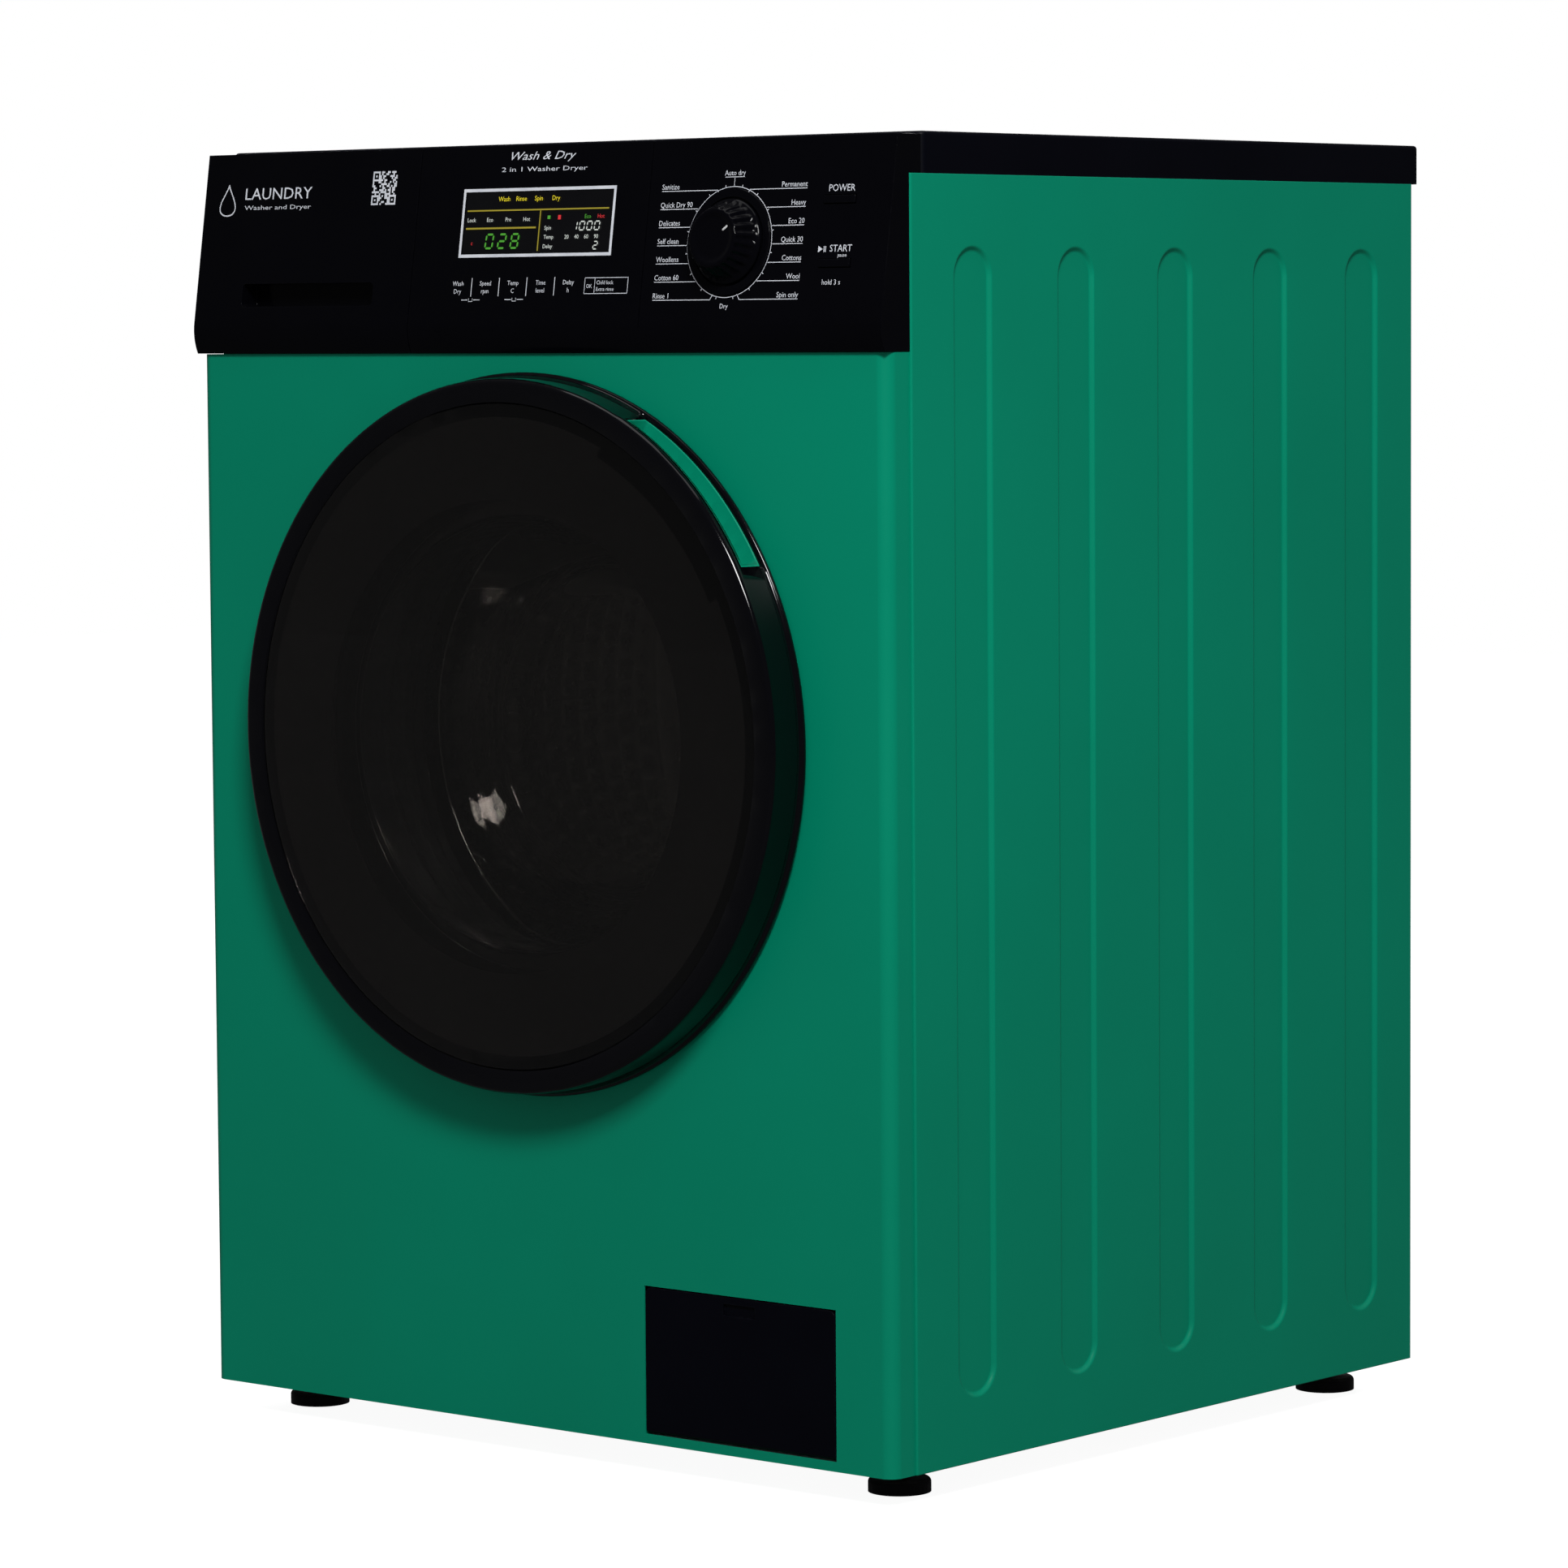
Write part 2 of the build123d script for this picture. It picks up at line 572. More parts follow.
def drawer_front():
    """Gloss front of the detergent drawer with a finger grip."""
    left = -CONSOLE_HALF - 0.5
    right = -SEAM_X - SEAM_GAP
    front = console_block(left, right, 0, FRONT_BACK_DEPTH)
    wall = CONSOLE_WALL
    hollow = console_block(left + wall, right - wall, wall, FRONT_BACK_DEPTH + 1)
    rib = slab(left + wall, right - wall, -20, FRONT_BACK_DEPTH + 2, GRIP_LOW - wall, GRIP_HIGH + 7)
    front -= hollow - rib
    face = face_depth(GRIP_LOW)
    pocket = slab(GRIP_LEFT, GRIP_RIGHT, -20, face + GRIP_DEEP, GRIP_LOW, GRIP_HIGH)
    pocket = fillet(pocket.edges().filter_by(Axis.Y), 3)
    under = slab(GRIP_LEFT + 1, GRIP_RIGHT - 1, face + 6, face + GRIP_DEEP, GRIP_LOW + 1, GRIP_HIGH + 4.5)
    return front - pocket - under


def detergent_tray():
    """Open-topped drawer with three compartments."""
    tray = slab(TRAY_LEFT, TRAY_RIGHT, FRONT_BACK_DEPTH, TRAY_BACK, TRAY_BASE, TRAY_TOP)
    width = (TRAY_RIGHT - TRAY_LEFT - 4 * TRAY_WALL) / 3
    for k in range(3):
        x0 = TRAY_LEFT + TRAY_WALL + k * (width + TRAY_WALL)
        floor = TRAY_BASE + TRAY_WALL + (8 if k == 1 else 0)
        tray -= slab(x0, x0 + width, FRONT_BACK_DEPTH + TRAY_WALL, TRAY_BACK - TRAY_WALL, floor, TRAY_TOP + 1)
    return tray


def siphon_cap():
    """Siphon insert standing in the middle compartment of the drawer."""
    width = (TRAY_RIGHT - TRAY_LEFT - 4 * TRAY_WALL) / 3
    x = (TRAY_LEFT + TRAY_RIGHT) / 2
    floor = TRAY_BASE + TRAY_WALL + 8
    plate = slab(x - width / 2 + 0.3, x + width / 2 - 0.3, TRAY_BACK - 52, TRAY_BACK - 6, floor + 34, floor + 36)
    tower = rod_along("z", 9, floor, floor + 36, x, TRAY_BACK - 28)
    grip = slab(x - 9, x + 9, TRAY_BACK - 52, TRAY_BACK - 50, floor + 30, floor + 48)
    return plate + tower + grip - rod_along("z", 5, floor - 1, floor + 33, x, TRAY_BACK - 28)


def dispenser_housing():
    """Box round the detergent drawer, open at the front, with the outlet boot."""
    wall = HOUSING_WALL
    gap = TRAY_GAP
    box = slab(
        TRAY_LEFT - gap - wall,
        TRAY_RIGHT + gap + wall,
        SIDE_FRONT,
        TRAY_BACK + gap + wall,
        TRAY_BASE - gap - wall,
        TRAY_TOP + gap + wall,
    )
    box -= slab(
        TRAY_LEFT - gap, TRAY_RIGHT + gap, SIDE_FRONT - 1, TRAY_BACK + gap, TRAY_BASE - gap, TRAY_TOP + gap
    )
    box += pipe("y", 9, 6, TRAY_BACK + gap + wall, TRAY_BACK + 22, (TRAY_LEFT + TRAY_RIGHT) / 2, TRAY_TOP - 20)
    box -= rod_along(
        "y", 6, TRAY_BACK + gap - 1, TRAY_BACK + 23, (TRAY_LEFT + TRAY_RIGHT) / 2, TRAY_TOP - 20
    )
    return box


def control_board():
    """Power electronics box hung from the right rail of the frame."""
    right = WIDTH / 2 - SHEET - 9
    left = WIDTH / 2 - SHEET - RAIL_WIDTH + 0.8
    low = FRAME_LOW - BOARD_HEIGHT
    box = slab(left, right, BOARD_FRONT, BOARD_BACK, low, FRAME_LOW)
    box -= slab(left + 3, right - 3, BOARD_FRONT + 3, BOARD_BACK - 3, low + 3, FRAME_LOW + 1)
    return box + slab(left + 3, right - 3, BOARD_FRONT + 3, BOARD_BACK - 3, low + 32, low + 35)


# ---------------------------------------------------------------- water, drain and mains connections
def inlet_valves():
    """Hot and cold solenoid valves on one bracket, with threaded inlets at the back."""
    left, right = VALVE_X
    bracket = slab(left - 24, right + 24, VALVE_FACE - 4, VALVE_FACE, VALVE_Z - 22, VALVE_Z + 22)
    rim = slab(left - 24, left - 22, VALVE_FACE, BACK_PLATE, VALVE_Z - 22, VALVE_Z + 22)
    body = bracket + rim + slab(right + 22, right + 24, VALVE_FACE, BACK_PLATE, VALVE_Z - 22, VALVE_Z + 22)
    for x in VALVE_X:
        body += rod_along("y", VALVE_THREAD, VALVE_FACE - 1, CONNECTOR_END, x, VALVE_Z)
        body += rod_along("y", 15, VALVE_FACE - 34, VALVE_FACE - 3, x, VALVE_Z)
        body += slab(x - 14, x + 14, VALVE_FACE - 52, VALVE_FACE - 20, VALVE_Z - 12, VALVE_Z + 32)
        body -= rod_along("y", 9, VALVE_FACE - 20, CONNECTOR_END + 1, x, VALVE_Z)
    middle = (left + right) / 2
    body += slab(left, right, VALVE_FACE - 34, VALVE_FACE - 20, VALVE_Z - 6, VALVE_Z + 6)
    return body + rod_along("y", 6, VALVE_FACE - 60, VALVE_FACE - 28, middle, VALVE_Z)


def dispenser_hose():
    """Rubber hose from the valves forward to the dispenser housing."""
    middle = sum(VALVE_X) / 2
    start = (middle, deep(VALVE_FACE - 60), VALVE_Z)
    x_end = (TRAY_LEFT + TRAY_RIGHT) / 2
    end = (x_end, deep(TRAY_BACK + 22), TRAY_TOP - 20)
    path = FilletPolyline(
        start,
        (middle, start[1] - 60, VALVE_Z),
        (x_end, end[1] + 60, TRAY_TOP - 20),
        end,
        radius=40,
    )
    section = Plane(origin=start, z_dir=(0, -1, 0)) * Circle(9)
    return sweep(section, path)


def drain_spout():
    """Drain spigot on a flange inside the rear sheet."""
    flange = slab(DRAIN_X - 26, DRAIN_X + 26, BACK_PLATE - 3, BACK_PLATE, DRAIN_Z - 26, DRAIN_Z + 26)
    pipe_out = rod_along("y", DRAIN_RADIUS, BACK_PLATE - 40, CONNECTOR_END, DRAIN_X, DRAIN_Z)
    return flange + pipe_out - rod_along(
        "y", DRAIN_RADIUS - 2.5, BACK_PLATE - 41, CONNECTOR_END + 1, DRAIN_X, DRAIN_Z
    )


def cord_gland():
    """Bushing in the rear sheet where a mains lead would enter."""
    flat = BACK_PLATE + SHEET
    head = Pos(GLAND_X, deep(flat + 3.5), GLAND_Z) * Rot(90, 0, 0) * extrude(RegularPolygon(12, 6), amount=3.5, both=True)
    neck = rod_along("y", GLAND_BORE + 2, BACK_PLATE - 8, flat + 1, GLAND_X, GLAND_Z)
    nut = rod_along("y", 11, BACK_PLATE - 6, BACK_PLATE, GLAND_X, GLAND_Z)
    return head + neck + nut - rod_along("y", GLAND_BORE, BACK_PLATE - 9, flat + 8, GLAND_X, GLAND_Z)


def drain_pump():
    """Filter chamber, impeller chamber and motor of the drain pump in one casing."""
    shell = rod_along("y", FILTER_BORE + FILTER_WALL, FILTER_MOUTH, CHAMBER_END, PUMP_X, PUMP_Z)
    shell += rod_along("y", 26, CHAMBER_END - 1, PUMP_END, PUMP_X, PUMP_Z)
    shell += rod_along("z", SUMP_RADIUS, PUMP_Z, SUMP_JOIN_LOW, PUMP_X, SUMP_DEPTH)
    outlet = rod_along("x", 10, PUMP_X - 70, PUMP_X, (FILTER_END + CHAMBER_END) / 2, PUMP_Z)
    shell += outlet
    floor = FOOT_HEIGHT + TRAY_FLOOR
    for depth in (50, 180):
        shell += slab(PUMP_X - 14, PUMP_X + 14, depth - 8, depth + 8, floor, PUMP_Z - 20)
    shell -= rod_along("y", FILTER_BORE, FILTER_MOUTH - 1, CHAMBER_END - PUMP_WALL, PUMP_X, PUMP_Z)
    shell -= rod_along("z", SUMP_RADIUS - 3, PUMP_Z, SUMP_JOIN_LOW + 1, PUMP_X, SUMP_DEPTH)
    shell -= rod_along(
        "x", 7.5, PUMP_X - 71, PUMP_X - FILTER_BORE + 2, (FILTER_END + CHAMBER_END) / 2, PUMP_Z
    )
    return shell + rod_along("y", 2.5, FILTER_END + 4, CHAMBER_END - PUMP_WALL + 1, PUMP_X, PUMP_Z)


def pump_impeller():
    """Four-bladed impeller on the pump's fixed pin."""
    front = FILTER_END + 3
    back = CHAMBER_END - PUMP_WALL - 1
    wheel = rod_along("y", 7, front, back, PUMP_X, PUMP_Z)
    wheel += rod_along("y", 22, back - 3, back, PUMP_X, PUMP_Z)
    for k in range(4):
        blade = slab(-1.2, 1.2, front + 2, back - 2, 0, 21)
        wheel += Pos(PUMP_X, 0, PUMP_Z) * Rot(0, 90 * k, 0) * blade
    return wheel - rod_along("y", 2.5 + RUN_FIT, FILTER_END + 1, back + 1, PUMP_X, PUMP_Z)


def filter_cap():
    """Screw-in plug of the drain filter with its turning grip."""
    plug = rod_along("y", FILTER_BORE - RUN_FIT, FILTER_MOUTH - 2, FILTER_MOUTH + 16, PUMP_X, PUMP_Z)
    flange = rod_along("y", FILTER_BORE + 2, FILTER_MOUTH - 6, FILTER_MOUTH - 0.5, PUMP_X, PUMP_Z)
    grip = slab(PUMP_X - 22, PUMP_X + 22, FILTER_MOUTH - 18, FILTER_MOUTH - 5, PUMP_Z - 4, PUMP_Z + 4)
    grip = fillet(grip.edges().filter_by(Axis.Y), 2.5)
    return plug + flange + grip - rod_along("y", FILTER_BORE - 4, FILTER_MOUTH + 2, FILTER_MOUTH + 17, PUMP_X, PUMP_Z)


def sump_hose():
    """Bellows hose from the tub outlet down to the filter chamber."""
    low = SUMP_JOIN_LOW - 10
    high = SUMP_JOIN_HIGH + 10
    return pipe("z", SUMP_RADIUS + HOSE_WALL, SUMP_RADIUS, low, high, PUMP_X, SUMP_DEPTH)


def filter_cover():
    """Flap over the drain filter, turning on stubs at its lower edge."""
    depth = FLAP_HINGE
    axis_z = FLAP_LOW + FLAP_HINGE
    plate = slab(FLAP_LEFT, FLAP_RIGHT, 0, FLAP_THICK, axis_z, FLAP_HIGH)
    plate = fillet(plate.edges().filter_by(Axis.Y).sort_by(Axis.Z)[-2:], 5)
    roll = rod_along("x", FLAP_HINGE, FLAP_LEFT, FLAP_RIGHT, depth, axis_z)
    pins = rod_along("x", FLAP_PIN, FLAP_LEFT - FLAP_GAP - 3, FLAP_RIGHT + FLAP_GAP + 3, depth, axis_z)
    middle = (FLAP_LEFT + FLAP_RIGHT) / 2
    notch = slab(middle - 13, middle + 13, -1, 1.6, FLAP_HIGH - 12, FLAP_HIGH - 4.5)
    catch = slab(middle - 8, middle + 8, FLAP_THICK, FLAP_THICK + 6, FLAP_HIGH - 5, FLAP_HIGH - 3)
    return plate + roll + pins - notch + catch


# ---------------------------------------------------------------- door
def handle_pocket(grow):
    """Finger pocket cut into the side wall of the door; grow adds a skin all round."""
    skin = degrees(grow / DOOR_RADIUS)
    return sector(
        POCKET_FLOOR - grow,
        DOOR_RADIUS + 10,
        -DOOR_PROUD + POCKET_RIM - grow,
        -POCKET_RIM + grow,
        POCKET_START - skin,
        POCKET_END + skin,
    )


def hinge_notch():
    """Space in the door's rim that the fixed hinge lugs swing through."""
    return slab(
        -DOOR_FLANGE - 10, HINGE_X + 8, -24.5, 5, WASH_Z - NOTCH_HALF, WASH_Z + NOTCH_HALF
    )


def door_ring():
    """Gloss outer ring of the door: front rim, side wall and rear flange."""
    front = -DOOR_PROUD
    wall = DOOR_WALL
    seat = GLASS_RADIUS - GLASS_SEAT
    ledge = front + GLASS_THICK + GLASS_SET_BACK
    ring = turned(
        [
            (DOOR_RADIUS - 3.5, front),
            (DOOR_RADIUS - 1.2, front + 0.9),
            (DOOR_RADIUS, front + 3.5),
            (DOOR_RADIUS, -DOOR_FLANGE_DEPTH - 1.5),
            (DOOR_FLANGE - 0.8, -DOOR_FLANGE_DEPTH),
            (DOOR_FLANGE, -DOOR_FLANGE_DEPTH + 0.8),
            (DOOR_FLANGE, -DOOR_BACK - 1.5),
            (DOOR_FLANGE - 1.5, -DOOR_BACK),
            (DOOR_RADIUS - wall, -DOOR_BACK),
            (DOOR_RADIUS - wall, ledge + wall),
            (seat, ledge + wall),
            (seat, ledge),
            (GLASS_RADIUS + 0.3, ledge),
            (GLASS_RADIUS + 0.3, front),
        ]
    )
    block = sector(
        POCKET_FLOOR - GRIP_SHEET - wall,
        DOOR_RADIUS - 0.5,
        ledge,
        -DOOR_BACK - 3.3,
        POCKET_START - 3,
        POCKET_END + 3,
    )
    return ring + block - handle_pocket(GRIP_SHEET) - hinge_notch()


def door_grip():
    """Body-coloured lining of the finger pocket."""
    skin = handle_pocket(GRIP_SHEET) & turned(
        [(100, -DOOR_PROUD), (DOOR_RADIUS - 0.4, -DOOR_PROUD), (DOOR_RADIUS - 0.4, 0), (100, 0)]
    )
    return skin - handle_pocket(0)


def door_glass():
    """Dark tinted disc on the front of the door."""
    front = -DOOR_PROUD + GLASS_SET_BACK
    disc = rod_along("y", GLASS_RADIUS, front, front + GLASS_THICK, 0, WASH_Z)
    return chamfer(disc.edges().sort_by(Axis.Y)[0], 0.6)


def door_inner_ring():
    """Rear cover of the door that clamps the bowl and carries the arm and the hook."""
    outer = DOOR_RADIUS - DOOR_WALL - 0.2
    inner = BOWL_RADIUS + 0.6
    clamp = BOWL_FLANGE
    ring = turned(
        [
            (outer, -DOOR_BACK),
            (outer, -DOOR_BACK - 3),
            (clamp + 3, -DOOR_BACK - 3),
            (clamp + 3, -14.5),
            (clamp + 0.3, -14.5),
            (clamp + 0.3, -DOOR_BACK - 3),
            (inner, -DOOR_BACK - 3),
            (inner, -DOOR_BACK),
        ]
    )
    return ring - hinge_notch()


def door_bowl():
    """Thick glass bowl that reaches into the drum mouth."""
    wall = BOWL_WALL
    back = -DOOR_BACK - 3
    return turned(
        [
            (BOWL_FLANGE, back),
            (BOWL_FLANGE, back - wall),
            (BOWL_RADIUS - 8, back - wall),
            (BOWL_RADIUS - 12, 24),
            (BOWL_RADIUS - 22, 62),
            (BOWL_END_RADIUS - 12, BOWL_DEPTH - 15),
            (60, BOWL_DEPTH - 7),
            (0, BOWL_DEPTH - 4.5),
            (0, BOWL_DEPTH),
            (62, BOWL_DEPTH - 2),
            (BOWL_END_RADIUS - 7, BOWL_DEPTH - 9),
            (BOWL_END_RADIUS + 2, BOWL_DEPTH - 20),
            (BOWL_RADIUS - 15, 62),
            (BOWL_RADIUS - 5, 24),
            (BOWL_RADIUS, 0),
            (BOWL_RADIUS, back),
        ]
    )


def hinge_bracket():
    """Steel bracket behind the front sheet with two lugs that hold the hinge pin."""
    plate = slab(HINGE_X - 26, HINGE_X + 22, SHEET, SHEET + 3, WASH_Z - 62, WASH_Z + 62)
    bracket = plate
    for side in (-1, 1):
        low = WASH_Z + side * LUG_IN
        high = WASH_Z + side * LUG_OUT
        lug = slab(HINGE_X - LUG_HALF, HINGE_X + LUG_HALF, HINGE_DEPTH, SHEET + 1, low, high)
        bracket += lug + rod_along("z", LUG_HALF, min(low, high), max(low, high), HINGE_X, HINGE_DEPTH)
    return bracket + rod_along("z", PIN_RADIUS, WASH_Z - LUG_OUT, WASH_Z + LUG_OUT, HINGE_X, HINGE_DEPTH)


def door_hinge_arm():
    """Knuckle on the hinge pin with a leaf screwed to the door's rear cover."""
    knuckle = rod_along("z", KNUCKLE_RADIUS, WASH_Z - KNUCKLE_HALF, WASH_Z + KNUCKLE_HALF, HINGE_X, HINGE_DEPTH)
    leaf = slab(HINGE_X, HINGE_X + 50, HINGE_DEPTH - 2, HINGE_DEPTH + 2, WASH_Z - KNUCKLE_HALF, WASH_Z + KNUCKLE_HALF)
    post = slab(
        HINGE_X + 30, HINGE_X + 50, HINGE_DEPTH, -DOOR_BACK - 3, WASH_Z - KNUCKLE_HALF, WASH_Z + KNUCKLE_HALF
    )
    bore = rod_along(
        "z", PIN_RADIUS + RUN_FIT, WASH_Z - KNUCKLE_HALF - 1, WASH_Z + KNUCKLE_HALF + 1, HINGE_X, HINGE_DEPTH
    )
    return knuckle + leaf + post - bore


def door_hook():
    """Latch hook standing out of the back of the door."""
    hook = slab(HOOK_X, HOOK_X + 5, -DOOR_BACK, HOOK_REACH, WASH_Z - 6, WASH_Z + 6)
    nose = slab(HOOK_X + 4, HOOK_X + 9, HOOK_REACH - 6, HOOK_REACH, WASH_Z - 6, WASH_Z + 6)
    return hook + nose


def door_lock():
    """Electric door lock behind the front sheet, open where the hook enters."""
    body = slab(HOOK_X - 7, HOOK_X + 27, SHEET, 38, WASH_Z - 34, WASH_Z + 34)
    mouth = slab(HOOK_X - 4, HOOK_X + 13, SHEET - 1, 31, WASH_Z - 12, WASH_Z + 12)
    return body - mouth


def door_gasket():
    """Rubber bellows between the front sheet and the tub mouth."""
    mouth = MOUTH_RADIUS - SHEET
    return turned(
        [
            (mouth, 1.5),
            (157, 4),
            (157, 9),
            (mouth - 5, 9),
            (mouth - 4, 20),
            (mouth + 9, 32),
            (mouth + 9, 38),
            (mouth - 6, 50),
            (mouth - 6, TUB_FRONT + 8),
            (TUB_MOUTH, TUB_FRONT + 8),
            (TUB_MOUTH, TUB_FRONT - 2),
            (mouth - 2, 52),
            (mouth + 13, 40),
            (mouth + 13, 29),
            (mouth, 17),
        ]
    )


# ---------------------------------------------------------------- tub, drum and drive
def tub_front():
    """Front half of the tub, with the mouth for the gasket and the sump outlet."""
    r = TUB_RADIUS
    wall = TUB_WALL
    tub = turned(
        [
            (TUB_MOUTH, TUB_FRONT - 10),
            (TUB_MOUTH + wall, TUB_FRONT - 10),
            (TUB_MOUTH + wall, TUB_FRONT),
            (r - 8, TUB_FRONT),
            (r, TUB_FRONT + 8),
            (r, TUB_SPLIT - 6),
            (r + TUB_RIM, TUB_SPLIT - 6),
            (r + TUB_RIM, TUB_SPLIT),
            (r - wall, TUB_SPLIT),
            (r - wall, TUB_FRONT + 8 + wall),
            (r - 8 - wall, TUB_FRONT + wall),
            (TUB_MOUTH, TUB_FRONT + wall),
        ]
    )
    wall_z = WASH_Z - sqrt(r * r - PUMP_X * PUMP_X)
    tub += pipe("z", SUMP_RADIUS, SUMP_RADIUS - 3, SUMP_JOIN_HIGH, wall_z + 14, PUMP_X, SUMP_DEPTH) & turned(
        [(r - 1, 60), (r + 120, 60), (r + 120, 130), (r - 1, 130)]
    )
    return tub


def spring_lugs(depth):
    """Pair of ledges on the tub that the suspension springs hook under."""
    reach = SPRING_X + SPRING_RADIUS + 3
    start = sqrt(TUB_RADIUS**2 - (SPRING_LOW - WASH_Z) ** 2) - 1
    right = slab(start, reach, depth - 14, depth + 14, SPRING_LOW - 12, SPRING_LOW)
    left = slab(-reach, -start, depth - 14, depth + 14, SPRING_LOW - 12, SPRING_LOW)
    return right + left


def tub_rear():
    """Rear half of the tub with the bearing hub, motor lugs and damper feet."""
    r = TUB_RADIUS
    wall = TUB_WALL
    tub = turned(
        [
            (r + TUB_RIM, TUB_SPLIT),
            (r + TUB_RIM, TUB_SPLIT + 6),
            (r, TUB_SPLIT + 6),
            (r, TUB_BACK - 8),
            (r - 8, TUB_BACK),
            (HUB_RADIUS, TUB_BACK),
            (HUB_RADIUS, HUB_END),
            (BEARING_RADIUS, HUB_END),
            (BEARING_RADIUS, TUB_BACK - 6),
            (HUB_RADIUS, TUB_BACK - 6),
            (HUB_RADIUS + 6, TUB_BACK - wall),
            (r - 8 - wall, TUB_BACK - wall),
            (r - wall, TUB_BACK - 8 - wall),
            (r - wall, TUB_SPLIT),
        ]
    )
    for k in range(6):
        rib = slab(-3, 3, TUB_BACK - 1, TUB_BACK + 18, HUB_RADIUS - 2, r - 30)
        tub += Pos(0, 0, WASH_Z) * Rot(0, 60 * k + 30, 0) * rib
    for depth in SPRING_DEPTHS:
        tub += spring_lugs(depth)
    for x in (-DAMPER_X, DAMPER_X):
        wall_z = WASH_Z - sqrt(r * r - (abs(x) - 8) ** 2)
        foot_block = slab(x - 8, x + 8, DAMPER_DEPTH - 10, DAMPER_DEPTH + 10, DAMPER_TOP, wall_z + 3)
        tub += foot_block - rod_along("y", r - 1, TUB_SPLIT - 10, TUB_BACK, 0, WASH_Z)
    for depth in (MOTOR_FRONT + 20, MOTOR_BACK - 40):
        lug = slab(MOTOR_X - 12, MOTOR_X + 12, depth - 8, depth + 8, MOTOR_Z + 40, WASH_Z - r + 8)
        lug -= rod_along("y", MOTOR_RADIUS, depth - 20, depth + 20, MOTOR_X, MOTOR_Z)
        tub += lug - rod_along("y", r - 1, TUB_SPLIT - 10, TUB_BACK, 0, WASH_Z)
    return tub


def counterweights():
    """Concrete weights: a crescent on the tub's front and a block on its top."""
    front = sector(TUB_MOUTH + 14, TUB_RADIUS - 10, TUB_FRONT - 28, TUB_FRONT, 208, 332)
    top = sector(TUB_RADIUS, TUB_RADIUS + 40, TUB_SPLIT + 40, TUB_BACK - 30, 77, 108)
    return front, top


def drum_bearings():
    """Two ball bearings in the hub, as plain rings."""
    front = TUB_BACK - 6
    rings = []
    for start in (front, HUB_END - BEARING_WIDTH):
        rings.append(
            pipe("y", BEARING_RADIUS, SHAFT_RADIUS + RUN_FIT, start, start + BEARING_WIDTH, 0, WASH_Z)
        )
    return rings


def tub_heater():
    """Sheathed wash heater lying in the bottom of the tub."""
    z = WASH_Z - (TUB_RADIUS - TUB_WALL + DRUM_RADIUS) / 2 + 1
    front = TUB_FRONT + 40
    heater = slab(-16, 16, front, front + 7, z - 3.5, z + 3.5)
    for x in (-16, 16):
        heater += rod_along("y", 3.5, front, TUB_BACK - TUB_WALL - 2.5, x, z)
    back = TUB_BACK - TUB_WALL
    return heater + slab(-22, 22, back - 3, back, z, z + 18)


def drying_duct():
    """Air duct of the dryer with the round housing of its fan at the rear."""
    wall = DUCT_WALL
    duct = slab(DUCT_LEFT, DUCT_RIGHT, DUCT_FRONT, FAN_DEPTH, DUCT_LOW, DUCT_HIGH)
    scroll = rod_along("z", SCROLL_RADIUS, DUCT_LOW, DUCT_HIGH, FAN_X, FAN_DEPTH)
    inside = slab(
        DUCT_LEFT + wall, DUCT_RIGHT - wall, DUCT_FRONT + wall, FAN_DEPTH, DUCT_LOW + wall, DUCT_HIGH - wall
    )
    inside += rod_along("z", SCROLL_RADIUS - wall, DUCT_LOW + wall, DUCT_HIGH - wall, FAN_X, FAN_DEPTH)
    body = duct + scroll - inside
    body += rod_along("z", FAN_PIN, DUCT_LOW + 1, DUCT_HIGH - 1, FAN_X, FAN_DEPTH)
    stand = slab(DUCT_LEFT + 4, DUCT_LEFT + 34, DUCT_FRONT + 30, DUCT_FRONT + 60, DUCT_LOW - 24, DUCT_LOW)
    stand += slab(DUCT_LEFT + 4, DUCT_LEFT + 34, FAN_DEPTH - 70, FAN_DEPTH - 40, DUCT_LOW - 24, DUCT_LOW)
    return body + (stand - rod_along("y", TUB_RADIUS, TUB_FRONT, TUB_BACK, 0, WASH_Z))


def dryer_fan():
    """Centrifugal fan wheel on the fixed pin of the duct."""
    low = DUCT_LOW + DUCT_WALL + 3
    high = DUCT_HIGH - DUCT_WALL - 4
    wheel = rod_along("z", FAN_RADIUS, low, low + 2.5, FAN_X, FAN_DEPTH)
    wheel += rod_along("z", FAN_PIN + 5, low, high, FAN_X, FAN_DEPTH)
    wheel += pipe("z", FAN_RADIUS, FAN_RADIUS - 8, high - 2.5, high, FAN_X, FAN_DEPTH)
    for k in range(18):
        blade = slab(FAN_RADIUS - 8, FAN_RADIUS - 1, -FRONT_Y - 0.8, -FRONT_Y + 0.8, low, high)
        wheel += Pos(FAN_X, deep(FAN_DEPTH), 0) * Rot(0, 0, 20 * k) * blade
    return wheel - rod_along("z", FAN_PIN + RUN_FIT, low - 1, high + 1, FAN_X, FAN_DEPTH)


def drum_shell():
    """Rolled steel drum, open at the front."""
    r = DRUM_RADIUS
    wall = DRUM_WALL
    return turned(
        [
            (DRUM_MOUTH, DRUM_FRONT - 6),
            (DRUM_MOUTH + wall, DRUM_FRONT - 6),
            (DRUM_MOUTH + 8, DRUM_FRONT),
            (r - 14, DRUM_FRONT),
            (r, DRUM_FRONT + 14),
            (r, DRUM_BACK),
            (0, DRUM_BACK),
            (0, DRUM_BACK - wall),
            (r - wall, DRUM_BACK - wall),
            (r - wall, DRUM_FRONT + 14.5),
            (r - 14.5, DRUM_FRONT + wall),
            (DRUM_MOUTH + 7.5, DRUM_FRONT + wall),
            (DRUM_MOUTH, DRUM_FRONT - 3),
        ]
    )


